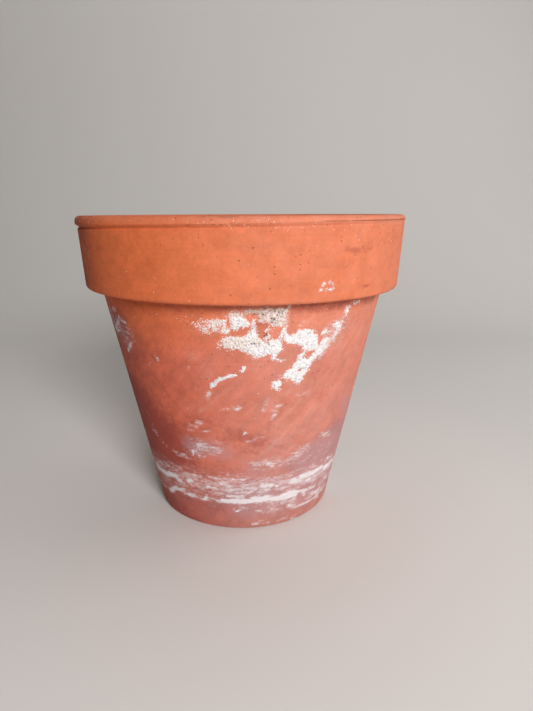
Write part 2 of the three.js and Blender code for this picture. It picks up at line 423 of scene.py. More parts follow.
# Salt, thin enough to be only a colour. Each is (strength, width in mm, *points of its middle line).
SALT = [
    # the lower tide line, from left to right
    (0.35, 3, (-68, 14), (-54, 13)), (0.55, 5, (-70, 25), (-60, 24)),
    (0.72, 2.8, (-51, 13.4), (-47, 15.6), (-43, 17.6)), (0.62, 2.6, (-44, 17), (-37, 18)),
    (0.45, 2.6, (-38, 16.6), (-12, 16.4)), (0.62, 2, (-34, 16.6), (-29, 17)),
    (0.8, 1.7, (-23, 16.2), (-21.6, 18)), (0.98, 2.5, (-12, 16.9), (0, 16.8), (6, 17.2)),
    (0.74, 2, (-9, 20), (-1, 19.4)), (0.95, 4, (5, 17.6), (12, 17.9)), (0.9, 3, (12, 17.3), (20, 16.9)),
    (0.94, 4.6, (22, 17.2), (29.4, 17.2)), (0.8, 2, (31, 17.7), (34, 17.5), (36, 15.8)),
    (0.75, 1.8, (36, 16.6), (46, 16.4)), (0.65, 1.5, (36.2, 15), (37.4, 13)),
    (0.6, 1.8, (44, 12.6), (54, 11.4)), (0.62, 1.7, (26, 11), (29, 9.4), (34, 8), (44, 8.1), (54, 7.4)),
    (0.4, 4, (58, 17), (72, 14)),
    # the upper tide line
    (1.0, 2.6, (-64, 22.8), (-50, 23.6), (-44, 25), (-41, 25.5)), (0.62, 3, (-41, 24), (-36, 22.6)),
    (0.8, 2.3, (-32.4, 24.8), (-30, 25.6)), (0.5, 1.6, (-30.4, 22.4), (-28, 23.4)),
    (0.5, 1.4, (-28, 26), (-26.6, 26.6)),
    (0.45, 1.3, (-60, 27.4), (-50, 28.4), (-42, 29.9), (-36, 30.9), (-33.6, 29)),
    (0.6, 1.7, (-20, 24.4), (-15, 23.2)), (0.66, 1.6, (-13, 26.6), (-8, 25.5)),
    (0.66, 1.5, (-10.6, 29.4), (-4, 29.8), (0, 29)), (0.55, 1.5, (-8, 23.2), (-1, 23.6)),
    (0.5, 1.4, (-34, 29.6), (-24, 29)), (0.55, 1.4, (-18, 30), (-11, 29.6)),
    (0.86, 2.2, (9, 25.6), (14, 25.2)), (0.72, 0.9, (14, 26.2), (16.4, 24.6), (19.6, 23.2)),
    (0.6, 1.4, (1, 21.6), (6, 23.4)), (0.62, 1.6, (10.5, 23.4), (13, 22.8)),
    (0.55, 1.5, (8, 28.6), (12, 29)), (0.5, 1.2, (15, 30), (20, 29)), (0.7, 3.6, (26.6, 25), (31, 24.6)),
    (1.0, 2.4, (32, 26.3), (36, 26.1), (42, 25.8), (48.4, 26.3)), (0.85, 1.8, (37, 22.5), (39.6, 22.2)),
    (0.66, 1.3, (40.6, 23.6), (48, 22.2)), (0.85, 3, (52, 25), (60, 24)),
    (0.55, 1.6, (53, 30.2), (58, 28.2)), (0.45, 3, (50, 10.4), (60, 9.6)), (0.42, 3, (22, 14), (29, 13.6)),
    (0.5, 4, (60, 25), (72, 23)),
    # thin lines and spots near the foot
    (0.7, 1.1, (-6.4, 11.8), (-4, 10.4), (-2.4, 10)), (0.4, 2, (-3, 13), (1, 12.6)),
    (0.45, 1.6, (6, 11), (9, 11)), (0.42, 1.6, (13, 12), (16, 11)), (0.5, 1.6, (5, 2.6), (9, 3.6)),
    (0.45, 1.8, (11, 3.2), (14, 3)), (0.5, 1.6, (20, 2.6), (27, 3.4)), (0.35, 2, (30, 2), (38, 3)),
    # dry spots and scrapes higher up
    (0.5, 3.6, (-21.4, 46.6), (-19.6, 45.6)), (0.34, 3, (-18, 46), (-12, 45.4)),
    (0.3, 2.6, (-28, 43), (-24, 44)), (1.0, 1.0, (-0.5, 54.0), (0.6, 55)),
    (0.8, 1.1, (-26, 41.4), (-25.6, 43)), (0.7, 0.7, (-23, 41.2), (-20.4, 41), (-19, 41.8)),
    (0.36, 0.9, (-27, 41), (-34, 39.6), (-42, 40.6), (-50, 46), (-54, 58)), (0.22, 3, (-36, 39), (-21, 39)),
    (0.36, 4, (4, 38), (9, 38.6)), (0.5, 3, (10, 38.7), (14, 37)), (0.34, 4, (14, 37.5), (26, 38)),
    (0.36, 6, (26, 41.6), (31, 42)), (0.36, 3, (40, 47), (48, 45.6)), (0.5, 1.2, (-8.6, 32.4), (-8.2, 33)),
    (0.36, 3.4, (-52, 48), (-49, 46.6)), (0.3, 4, (-26, 55), (-20, 59)),
    (0.36, 2.4, (-14.8, 72), (-14, 75)), (0.42, 2.2, (-3.4, 66.6), (-2, 68.4)),
    (0.34, 1.2, (-11, 66), (-4, 68)), (0.45, 2, (12.4, 61.6), (13.4, 65.4)), (0.36, 3, (12, 66), (15, 69)),
    (0.36, 1.6, (8, 66), (9.6, 72)), (0.36, 1.6, (22, 72.4), (28, 72)), (0.4, 1.5, (1, 50.6), (9, 52.4)),
    (0.4, 1.2, (-36.8, 90), (-35, 86.6)), (0.5, 1.1, (-40.4, 84.4), (-39, 85)),
    (0.45, 0.9, (-22, 85.4), (-20.6, 85.9)), (0.4, 0.8, (-18, 86), (-17.6, 89)),
    (0.34, 0.8, (-30, 62), (-24, 66)), (0.3, 0.8, (-10, 60), (-5, 63)), (0.34, 0.7, (4, 74), (7, 76)),
    (0.3, 1, (-20, 54), (-15, 55.6)),
    # splashes on the left, under the collar
    (0.5, 2.4, (-66, 105.4), (-58, 106)), (0.6, 2.6, (-66, 96), (-60, 99), (-56, 102.6), (-51, 101)),
    (0.62, 1.9, (-56, 87.4), (-53.4, 89.4), (-51, 92)), (0.5, 2.4, (-66, 94), (-60, 96.4)),
    # a thin film beside the run of lime
    (0.42, 5, (29, 90), (33, 95), (31, 100)), (0.3, 3.4, (33, 93), (38, 97)),
    (0.36, 4.5, (34, 96), (38, 101.6)), (0.4, 2.4, (38.4, 104), (39.6, 109)),
    (0.5, 1.6, (40, 109.6), (46, 111.6)), (0.45, 3, (32, 103), (36, 103.6)), (0.3, 3, (-6, 110), (2, 111)),
    (0.5, 4, (8, 108), (14, 108)), (0.3, 3, (-11, 106), (-8, 104)),
    # rubbed chalk on the collar
    (0.55, 0.9, (22.2, 118.9), (23.2, 120.8), (24.2, 122.4)), (0.5, 1.5, (24.4, 119.2), (26.4, 119.4)),
    (0.46, 1.2, (25.2, 121), (25.6, 123.6)), (0.4, 1.0, (26.8, 121), (27.2, 122.2)),
]

# A thin veil of the same salt, which only pales the clay.
VEIL = [
    (0.3, 18, (-180, 24), (-90, 24), (0, 24), (90, 24), (179, 24)),
    (0.42, 11, (-60, 25), (-40, 27), (-20, 25), (0, 25.6)),
    (0.5, 10, (-26, 24.6), (0, 25), (20, 25), (60, 24.6)), (0.32, 10, (12, 13), (30, 12), (70, 13)),
    (0.34, 5, (-50, 21.4), (0, 21.6), (60, 21)), (0.32, 5, (22, 13.8), (30, 13)),
    (0.3, 7, (-23, 48), (-16, 45), (-13, 47)), (0.16, 16, (30, 36), (50, 40)), (0.24, 8, (6, 36), (30, 40)),
    (0.22, 6, (-27, 43), (-20, 44.6)), (0.35, 7, (34, 99), (40, 104)), (0.35, 5, (30, 90), (33, 95)),
    (0.2, 7, (-14, 104), (-8, 105)), (0.3, 4, (20.4, 104), (21.6, 105.4)), (0.3, 12, (-64, 100), (-52, 96)),
]

# Old damp on the wall, which has left the clay a deep red, drawn together with painted shade: the wide
# strokes on the left are partly damp and partly painted shade of the side the key light misses, those near
# the foot make the clay darker towards the bottom, and the last three are a painted shadow under the collar.
DAMP_AND_SHADE = [
    # Partly old damp, partly painted shade: the wide strokes on the pot's left, from under the collar down
    # to the foot.
    (0.95, 40, (-84, 60), (-60, 56), (-50, 44)), (0.7, 24, (-50, 56), (-40, 50), (-36, 40)),
    (0.75, 18, (-70, 98), (-56, 99)), (0.5, 50, (-84, 92), (-60, 88)), (0.85, 14, (-62, 37), (-38, 36)),
    (0.55, 20, (-80, 6), (-44, 5)), (0.4, 9, (-36, 54), (-20, 60)), (0.3, 5, (-44, 92), (-40, 88)),
    (0.3, 6, (8, 54), (16, 66)), (0.35, 7, (62, 34), (52, 33)), (0.5, 5, (4.6, 105.4), (7, 105)),
    (0.42, 12, (66, 44), (52, 49)), (0.45, 3, (-30, 56), (-18, 61)), (0.4, 4, (-24, 50), (-22, 44)),
    (0.3, 5, (0, 48), (5, 53)), (0.5, 3, (-44, 70), (-34, 58), (-26, 50)),
    (0.4, 2.4, (-40, 80), (-32, 68), (-24, 60)), (0.35, 3, (-12, 52), (-2, 46), (6, 44)),
    (0.35, 5, (-60, 31), (-8, 31)), (0.45, 9, (-6, 54), (6, 51)), (0.35, 6, (-10, 34), (0, 34)),
    (0.4, 6, (-46, 13), (-12, 12)), (0.45, 7, (-46, 66), (-34, 60)), (0.4, 5, (-30, 48), (-24, 40)),
    (0.35, 3, (-16, 60), (-6, 56)), (0.3, 3, (12, 48), (18, 46)), (0.3, 5, (-16, 13), (-4, 6)),
    # Painted shadow: the three strokes along the collar's underside, at the end of the list.
    (0.22, 8, (10, 6), (44, 5)), (0.4, 5, (-60, 112.6), (0, 112.6), (60, 112.6)),
    (0.25, 9, (-60, 110), (-16, 110)), (0.55, 7, (18, 111.5), (60, 111.5)),
]

# Brown smudges on the collar, and a line of painted shade in the groove under the lip.
SMUDGES_AND_GROOVE_SHADE = [
    (0.48, 3, (31, 134.4), (36, 133.6), (42, 134.4)), (0.42, 2, (38, 136), (42, 136.6)),
    (0.36, 2.4, (30, 128), (34, 129)), (0.62, 1.0, (39.4, 119.4), (42.4, 119.6)),
    # The first mark on the line below is painted shade in the groove under the lip.
    (0.36, 1.2, (-24, 143.4), (6, 143.6)), (0.4, 4, (-54, 133), (-46, 134)),
]

# A violet cast in the damp clay.
HAZE = [
    (0.85, 24, (74, 38), (52, 40), (34, 34)), (0.5, 18, (34, 34), (6, 34)), (0.4, 30, (-70, 20), (0, 20)),
    (0.75, 26, (0, 20), (90, 20)), (0.6, 11, (-26, 47), (-10, 44)), (0.5, 16, (56, 58), (76, 52)),
    (0.3, 14, (16, 50), (40, 54)), (0.5, 14, (-66, 100), (-54, 92)),
    (0.36, 9, (29, 89), (34, 98), (40, 106)), (0.3, 26, (26, 52), (66, 60)),
]

# Soft smears, where something was rubbed over the dusty wall.
SMEARS = [
    (0.5, 6, (8, 44), (20, 52), (34, 64)), (0.4, 4, (4, 52), (16, 60), (28, 72)),
    (0.35, 8, (30, 50), (44, 64)), (0.35, 5, (-4, 60), (8, 68), (20, 76)), (0.3, 5, (44, 60), (54, 74)),
    (0.3, 9, (-20, 66), (-8, 76)), (0.45, 2.2, (12, 40), (26, 46)), (0.4, 8, (34, 100), (42, 92)),
    (0.35, 9, (-18, 92), (-14, 84)),
]


# Where the lime is cream, stained by the clay under it.
CREAM = [
    (1.0, 6, (-9, 97.4), (-1, 97.6)), (0.8, 7, (-16, 105), (-8, 104)), (0.9, 3, (-6, 110), (2, 111.5)),
    (0.6, 4, (0, 99), (6, 98.6)), (0.4, 5, (30, 93), (38, 102)), (0.6, 3, (9, 98), (9, 103)),
]

# Soil set in the lime, and the dark grit that lies in it.
SOILED = [
    (1.0, 4.4, (1, 111.4), (15, 111.4)), (0.75, 6, (5, 109), (13, 107)), (0.3, 3, (5, 98), (9, 97.4)),
    (0.5, 3, (-6, 110), (0, 111)),
]
GRIT = [
    (1.0, 2.2, (4, 109.8), (7.4, 109.2), (12, 110.6)), (0.7, 1.6, (9, 106.2), (10.4, 107.6)),
    (0.9, 1.6, (5, 103), (6.6, 101.4)), (0.9, 1.8, (6.6, 101.4), (7.6, 99.4), (8.4, 97.4)),
    (0.5, 1.5, (13, 106), (14, 105)), (0.5, 3, (0, 97), (6, 97)),
]

# Where single crumbs of lime stick to the clay.
GRAINS = [
    (0.8, 3.2, (-4, 144.4), (8, 145)), (0.5, 3, (8, 143), (22, 144.8)), (0.3, 5, (24, 143), (38, 140)),
    (0.1, 5, (-8, 117), (12, 117)), (0.02, 28, (-60, 128), (60, 128)), (0.5, 7, (-18, 105), (-10, 104)),
    (0.25, 8, (16, 104), (30, 106)), (0.03, 24, (0, 60), (30, 70)), (0.5, 6, (30, 88), (40, 98)),
    (0.3, 3, (-66, 90), (-56, 104)), (0.1, 2.4, (-180, 144.5), (179, 144.5)),
    (0.4, 4, (-24, 42), (-20, 47)), (0.2, 8, (20, 24), (54, 25)),
]


def bare_share(wall, bare):
    """0 on the bare islands and 1 away from them."""
    return 1 - wall.strokes([(1.0, *mark) for mark in bare], soft=0.3) if bare else 1.0


def lime_presence(wall, lime, points):
    """How much lime there is, before it is broken up. Grains lie up to 2 mm off its edge."""
    frayed = lime["fray"] * (cloud(points + 11, 1.3, 4) + 0.3)
    presence = np.zeros(wall.azimuth.shape)
    for strength, *outline in lime["patches"]:
        distance = wall.to_patch(outline) + frayed
        spread = np.maximum(smooth(distance, 0.4, -0.6), 0.5 * lime["fray"] * smooth(distance, 2.2, 0.0))
        presence = np.maximum(presence, strength * spread)
    return presence * bare_share(wall, lime["bare"])


def lime_growth(wall, lime, points):
    """How far the lime has grown: the wall is covered where this is above zero."""
    roughness = 0.5 + 0.3 * cloud(points, 1.7, 3) + 0.8 * cloud(points + 40, 0.62, 3)
    return lime_presence(wall, lime, points) - np.clip(roughness, 0.12, 2)


def wall_points(wall, height=0.0):
    """Positions in mm on the wall, a height above it."""
    turn = np.radians(wall.azimuth)
    radius = wall.radius + height
    return np.stack([radius * np.sin(turn), -radius * np.cos(turn), wall.z], axis=-1)


# ---------------------------------------------------------------- the clay body


def arc(corner, before, after, fillet):
    """Points of the arc that rounds a corner."""
    first, second = (before - corner).normalized(), (after - corner).normalized()
    half = first.angle(second) / 2
    centre = corner + (first + second).normalized() * fillet / math.sin(half)
    start = corner + first * fillet / math.tan(half) - centre
    end = corner + second * fillet / math.tan(half) - centre
    sweep = start.angle_signed(end)
    return [centre + Matrix.Rotation(-sweep * i / CORNER_STEPS, 2) @ start for i in range(CORNER_STEPS + 1)]


def section(shape, side):
    """The pot's section as (radius, height) from the foot up the outside and back down the inside.

    side is -1 for the pot's left and 1 for its right. The lip was pressed unevenly: on the left it is a
    deep bead over a clear groove, and on the right it is shallower and nearly flush.
    """
    lip_height = 0.0040 - 0.0010 * side
    groove_depth = 0.0004 - 0.0004 * side
    proud = 0.0006 - 0.0004 * side
    top = shape.height + 0.0006 * side
    groove = top - lip_height
    collar_low = shape.collar_radius - shape.collar_taper
    ledge = shape.collar_bottom + 0.004
    floor = shape.floor_thickness
    floor_radius = shape.foot_radius - shape.wall_thickness + 0.002
    lip = shape.collar_radius + proud
    ring_inner, recess = shape.foot_radius - 0.010, 0.0016
    corners = [  # radius, height, fillet, rows of faces up to the next corner
        (ring_inner, 0, 0.0006, 3),
        (shape.foot_radius, 0, 0.0018, 84),
        (shape.wall_radius, shape.collar_bottom, 0.0009, 3),
        (collar_low, shape.collar_bottom, 0.0015, 22),
        (shape.collar_radius, groove - 0.0008, 0.0004, 1),
        (shape.collar_radius - groove_depth, groove, 0.0003, 1),
        (lip, groove + 0.0013, 0.0006, 1),
        (lip, top, 0.0022, 3),
        (lip - shape.rim_thickness, top, 0.0028, 14),
        (collar_low - shape.rim_thickness, ledge, 0.002, 3),
        (shape.wall_radius - shape.wall_thickness, shape.collar_bottom, 0.003, 36),
        (floor_radius, floor, 0.008, 12),
        (shape.drain_radius, floor, 0.0015, 2),
        (shape.drain_radius, recess, 0.001, 10),
        (ring_inner - 0.001, recess, 0.0005, 1),
    ]
    at = [Vector((r, z)) for r, z, _, _ in corners]
    points = []
    for i, (_, _, fillet, rows) in enumerate(corners):
        points += arc(at[i], at[i - 1], at[(i + 1) % len(at)], fillet)
        following = (i + 1) % len(at)
        start = points[-1]
        end = arc(at[following], at[i], at[(following + 1) % len(at)], corners[following][2])[0]
        points += [start.lerp(end, k / rows) for k in range(1, rows)]
    return points


def turned_clay_tree():
    """Turns a section about +Z, from its own shape on the left to its attribute 'right' on the right."""
    tree, n, given = new_tree(
        "Turned clay",
        "GeometryNodeTree",
        {
            "Section": (GEOMETRY, None),
            "Facets": (INTEGER, 64),
            "Ring Depth": (FLOAT, 0.0),
            "Ring Spacing": (FLOAT, 0.002),
            "Waviness": (FLOAT, 0.0),
            "Material": (MATERIAL, None),
        },
        {"Pot": GEOMETRY},
    )
    count = n.add("GeometryNodeAttributeDomainSize", given["Section"]).outputs["Point Count"]
    columns, rows = n.math("ADD", given["Facets"], 1), n.math("ADD", count, 1)
    grid = n.add("GeometryNodeMeshGrid", 1.0, 1.0, columns, rows).outputs["Mesh"]
    here = n.add("ShaderNodeSeparateXYZ", n.add("GeometryNodeInputPosition").outputs[0]).outputs
    row = n.math("MODULO", n.math("ROUND", n.math("MULTIPLY", n.math("ADD", here[1], 0.5), count)), count)
    turn = n.math("MULTIPLY", n.math("ADD", here[0], 0.5), math.tau)

    def sampled(value):
        inputs = {"Geometry": given["Section"], "Value": value, "Index": row}
        sample = n.add("GeometryNodeSampleIndex", data_type="FLOAT_VECTOR", domain="POINT", inputs=inputs)
        return sample.outputs["Value"]

    left = sampled(n.add("GeometryNodeInputPosition").outputs[0])
    right = sampled(n.add("GeometryNodeInputNamedAttribute", "right", data_type="FLOAT_VECTOR").outputs[0])
    sine, cosine = n.math("SINE", turn), n.math("COSINE", turn)
    point = n.mix_vector(n.math("MULTIPLY_ADD", sine, 0.5, 0.5), left, right)
    at = n.add("ShaderNodeSeparateXYZ", point).outputs
    radius, height = at[0], at[2]

    up = n.math("DIVIDE", height, given["Ring Spacing"])
    ring = n.noise(n.xyz(n.math("MULTIPLY", sine, 0.4), n.math("MULTIPLY", cosine, 0.4), up), 1.0, 3.0, 0.6)
    wave = n.noise(n.xyz(sine, cosine, n.math("MULTIPLY", height, 8.0)), 1.2, 1.0)
    radius = n.math("ADD", radius, n.math("MULTIPLY", n.math("SUBTRACT", ring, 0.5), given["Ring Depth"]))
    radius = n.math("ADD", radius, n.math("MULTIPLY", n.math("SUBTRACT", wave, 0.5), given["Waviness"]))
    aside = n.math("MULTIPLY", n.math("MULTIPLY", radius, cosine), -1.0)
    position = n.xyz(n.math("MULTIPLY", radius, sine), aside, height)
    pot = n.add("GeometryNodeSetPosition", grid, inputs={"Position": position}).outputs[0]
    pot = n.add("GeometryNodeMergeByDistance", pot, inputs={"Distance": 1e-6}).outputs[0]
    pot = n.add("GeometryNodeSetShadeSmooth", pot).outputs[0]
    pot = n.add("GeometryNodeRealizeInstances", pot).outputs[0]
    pot = n.add("GeometryNodeSetMaterial", pot, inputs={"Material": given["Material"]}).outputs[0]
    n.add("NodeGroupOutput", pot)
    return tree


# Small knocks: azimuth, height in mm, reach along the edge, reach up and down, depth.
KNOCKS = [
    (-4.5, 147.3, 5.6, 1.3, 0.55), (-2.8, 144.2, 0.9, 0.8, 0.8), (-15, 143, 1.5, 0.7, 0.5),
    (62, 114.6, 3.2, 1.0, 0.5), (-96, 147, 4.0, 1.4, 0.7), (140, 147.2, 6.0, 1.6, 0.8),
    (-150, 114.4, 4.2, 1.2, 0.6), (118, 0.6, 4.0, 1.5, 0.8), (-64, 0.4, 3.4, 1.2, 0.5),
    (33, 0.3, 2.6, 1.0, 0.4),
]


def take_knocks(co, outward, shape):
    """Presses the small knocks into the clay. co is in metres and is changed."""
    azimuth = np.degrees(np.arctan2(co[:, 0], -co[:, 1]))
    wall = Wall(azimuth, co[:, 2] / MM, shape)
    outside = np.hypot(co[:, 0], co[:, 1]) / MM > wall.radius - 5
    for turn, z, along, upright, depth in KNOCKS:
        across, up = wall.offset((turn, z))
        reach = smooth(np.hypot(across / along, up / upright), 1.0, 0.35) * outside
        co -= outward * (reach * depth * MM)[:, None]


def write_attribute(mesh, name, values):
    mesh.attributes.new(name, "FLOAT", "POINT").data.foreach_set("value", np.asarray(values, np.float32))


def back_salt(azimuth, z, points, drift):
    """Salt out of the front's view: two tide lines that come and go round the pot, and dry blooms."""
    low = smooth(np.abs(z - 17 - 1.5 * drift), 2.2, 0.4) * (0.62 + 0.4 * cloud(points + 90, 18, 2))
    high = smooth(np.abs(z - 25 - 2 * drift), 4.2, 0.8) * (0.55 + 0.4 * cloud(points + 150, 22, 2))
    blooms = 0.5 * smooth(cloud(points + 210, 15, 4), 0.12, 0.75) * smooth(z, 112, 70)
    return np.maximum(np.maximum(low, high), blooms)


def stain_clay(mesh, co, shape):
    """Stores how much salt, deep red stain, haze, pale tint and soil each point of the clay carries. The
    deep red stain also lays painted shade and shadow, and the pale tint painted light on the lit side.

    The front is drawn mark by mark in the lists above, and the back carries on in the same manner.
    """
    azimuth = np.degrees(np.arctan2(co[:, 0], -co[:, 1]))
    z = co[:, 2] / MM
    radius = np.hypot(co[:, 0], co[:, 1]) / MM
    wall = Wall(azimuth, z, shape)
    points = wall_points(wall)
    drift = cloud(points, 30, 2)
    outside = smooth(radius - wall.radius, -5.0, -2.0)
    inside = 1 - smooth(radius - wall.radius, -5.6, -4.6)
    behind = smooth(np.abs(azimuth), 58, 84)
    on_wall = z < shape.collar_bottom / MM
    # The lit right side, where the pale tint is painted light as well as dust.
    dusty_lit_side = smooth(azimuth, -36, 16) * smooth(azimuth, 170, 80)
    lime = np.max([lime_presence(wall, lime, points) for lime in LIME.values()], axis=0)
    # Old damp on the wall, with the painted shade and shadow drawn among its strokes.
    damp_and_shade = np.maximum(
        wall.strokes(DAMP_AND_SHADE, soft=0.9), behind * 0.6 * smooth(cloud(points + 60, 40, 4), -0.5, 0.9)
    )
    # Painted shade on the collar's left, the side the key light misses, under the brown smudges and the
    # groove line.
    collar_shade_and_smudges = np.maximum(
        0.5 * smooth(np.abs(azimuth + 78), 44, 14) + 0.1 * drift, wall.strokes(SMUDGES_AND_GROOVE_SHADE, soft=0.9)
    )
    haze = np.maximum(wall.strokes(HAZE, soft=0.9), behind * 0.7 * smooth(z + 14 * drift, 70, 20))
    stains = {
        "salt": np.maximum(wall.strokes(SALT, soft=0.7), behind * back_salt(azimuth, z, points, drift)),
        "veil": np.maximum(wall.strokes(VEIL, soft=0.8), 0.5 * behind * smooth(z + 10 * drift, 60, 20)),
        "lime": lime,
        "damp_and_shade": np.where(on_wall, damp_and_shade, collar_shade_and_smudges),
        "haze": haze * on_wall,
        "grains": np.maximum(wall.strokes(GRAINS, soft=0.9), 0.7 * smooth(lime, 0.02, 0.2)) * (z > 20),
        "grit": wall.strokes(GRIT, soft=0.5),
        "smear": wall.strokes(SMEARS, soft=0.9),
    }
    for name, amount in stains.items():
        write_attribute(mesh, name, amount * outside)
    # A little dust all round. The pale tint that grows towards the lit right side is painted light, and the
    # top of the lip is made a little lighter.
    dust_and_light = 0.04 + np.where(on_wall, 0.26, 0.14) * dusty_lit_side + 0.07 * smooth(z, 143, 145)
    write_attribute(mesh, "dust_and_light", dust_and_light)
    write_attribute(mesh, "soil", inside * smooth(z + 5 * cloud(points + 20, 14, 3), 128, 112))
    write_attribute(mesh, "tide", 0.8 * inside * smooth(np.abs(z - 121 - 4 * drift), 5.0, 0.0))


class POT_OT_turn_body(Operator):
    """Turn the clay body, knock it a little and store its stains"""

    bl_idname = "clay_pot.turn_body"
    bl_label = "Turn the clay body"

    def execute(self, context):
        shape = context.scene.pot_shape
        left, right = section(shape, -1), section(shape, 1)
        outline = bpy.data.meshes.new("pot section")
        outline.from_pydata([(p.x, 0, p.y) for p in left], [], [])
        far = outline.attributes.new("right", "FLOAT_VECTOR", "POINT")
        far.data.foreach_set("vector", np.array([(p.x, 0, p.y) for p in right], np.float32).ravel())
        source = bpy.data.objects.new("pot section", outline)
        context.scene.collection.objects.link(source)
        values = {
            "Facets": shape.facets,
            "Ring Depth": shape.ring_depth,
            "Ring Spacing": 0.0021,
            "Waviness": shape.waviness,
            "Material": clay_material(context.scene.pot_finish),
        }
        mesh = bake_nodes(source, turned_clay_tree(), values, "clay_pot")
        bpy.data.objects.remove(source)
        co = np.zeros(len(mesh.vertices) * 3, np.float32)
        mesh.vertices.foreach_get("co", co)
        co = co.reshape(-1, 3).astype(float)
        outward = np.zeros(len(mesh.vertices) * 3, np.float32)
        mesh.vertices.foreach_get("normal", outward)
        take_knocks(co, outward.reshape(-1, 3), shape)
        mesh.vertices.foreach_set("co", co.astype(np.float32).ravel())
        mesh.update()
        stain_clay(mesh, co, shape)
        place("clay_pot", mesh, "terracotta", "clay_body")
        return {"FINISHED"}


# ---------------------------------------------------------------- the lime


def corner_free(cells):
    """Fills cells in where two of them would meet at a corner only, which no closed mesh can have."""
    for _ in range(6):
        a, b, c, d = cells[:-1, :-1], cells[:-1, 1:], cells[1:, :-1], cells[1:, 1:]
        crossed = (a & d & ~b & ~c) | (b & c & ~a & ~d)
        for part in (a, b, c, d):
            part |= crossed
    return cells


def shell_faces(cells):
    """Faces of a closed shell over a grid of cells: its top, its back, and its sides where a cell ends."""
    rows, columns = cells.shape
    index = np.arange((rows + 1) * (columns + 1)).reshape(rows + 1, columns + 1)
    corners = [index[:-1, :-1], index[:-1, 1:], index[1:, 1:], index[1:, :-1]]
    quads = np.stack([corner[cells] for corner in corners], axis=-1)
    behind = index.size
    faces = [*quads.tolist(), *(quads[:, ::-1] + behind).tolist()]
    padded = np.pad(cells, 1)
    sides = {(-1, 0): (0, 1), (0, 1): (1, 2), (1, 0): (2, 3), (0, -1): (3, 0)}
    for (down, across), (first, second) in sides.items():
        beside = padded[1 + down : 1 + down + rows, 1 + across : 1 + across + columns]
        a, b = corners[first][cells & ~beside], corners[second][cells & ~beside]
        faces += np.stack([b, a, a + behind, b + behind], axis=-1).tolist()
    return faces


def relief_solid(name, wall_low, wall_high, height_at, shape):
    """A closed crust on the wall between two corners (azimuth, height in mm).

    height_at gives its height above the wall in mm. The crust is left out where that is well under the wall.
    """
    buried, sunk = -0.25, -0.5  # how deep the edge and the back lie in the clay
    degree = math.radians(1) * wall_radius_at(np.array(wall_low[1] * MM), shape) / MM
    columns = int((wall_high[0] - wall_low[0]) * degree / CRUST_GRID)
    rows = int((wall_high[1] - wall_low[1]) / CRUST_GRID)
    azimuth, z = np.meshgrid(
        np.linspace(wall_low[0], wall_high[0], columns + 1), np.linspace(wall_low[1], wall_high[1], rows + 1)
    )
    wall = Wall(azimuth.ravel(), z.ravel(), shape)
    height = height_at(wall)
    top, back = wall_points(wall, np.maximum(height, buried)) * MM, wall_points(wall, sunk) * MM
    kept = (height > buried).reshape(rows + 1, columns + 1)
    cells = kept[:-1, :-1] | kept[1:, :-1] | kept[:-1, 1:] | kept[1:, 1:]
    cells[[0, -1]] = False
    cells[:, [0, -1]] = False
    mesh = bpy.data.meshes.new(name)
    mesh.from_pydata(np.concatenate([top, back]).tolist(), [], shell_faces(corner_free(cells)))
    return mesh


def crust_corners(lime, shape):
    """Two corners (azimuth, height in mm) of a patch of wall that holds a crust, clear of the collar."""
    points = [point for _, *outline in lime["patches"] for point in outline]
    azimuths, heights = zip(*points)
    top = min(max(heights) + 2, shape.collar_bottom / MM - 0.8)
    return (min(azimuths) - 2, min(heights) - 2), (max(azimuths) + 2, top)


def crust_height(lime, wall):
    """How far a crust stands out from the wall, in mm. It is below 0 past the crust's edge."""
    points = wall_points(wall)
    grown = lime_growth(wall, lime, points)
    body = smooth(grown, 0.0, 0.6) * lime["thickness"]
    crumble = 0.11 * cloud(points + 70, 0.7, 3) + 0.07 * cloud(points + 30, 2.6, 2)
    return np.where(grown > 0, 0.04 + body + crumble * smooth(grown, 0, 0.3), grown * 3)


def drop_loose(mesh):
    """Takes out points that no face uses."""
    bm = bmesh.new()
    bm.from_mesh(mesh)
    loose = [v for v in bm.verts if not v.link_faces]
    bmesh.ops.delete(bm, geom=loose, context="VERTS")
    bm.to_mesh(mesh)
    bm.free()


class POT_OT_grow_lime(Operator):
    """Grow the lime crusts on the wall"""

    bl_idname = "clay_pot.grow_lime"
    bl_label = "Grow the lime crusts"

    def execute(self, context):
        shape = context.scene.pot_shape
        material = lime_material(context.scene.pot_finish)
        for name, lime in LIME.items():
            low, high = crust_corners(lime, shape)
            mesh = relief_solid(name + "_piece", low, high, partial(crust_height, lime), shape)
            drop_loose(mesh)
            mesh.shade_smooth()
            mesh.materials.append(material)
            co = np.zeros(len(mesh.vertices) * 3, np.float32)
            mesh.vertices.foreach_get("co", co)
            co = co.reshape(-1, 3).astype(float)
            wall = Wall(np.degrees(np.arctan2(co[:, 0], -co[:, 1])), co[:, 2] / MM, shape)
            write_attribute(mesh, "soil", wall.strokes(SOILED, soft=0.6))
            write_attribute(mesh, "grit", wall.strokes(GRIT, soft=0.5))
            write_attribute(mesh, "cream", wall.strokes(CREAM, soft=0.7))
            place(name + "_piece", mesh, "lime", name)
        return {"FINISHED"}


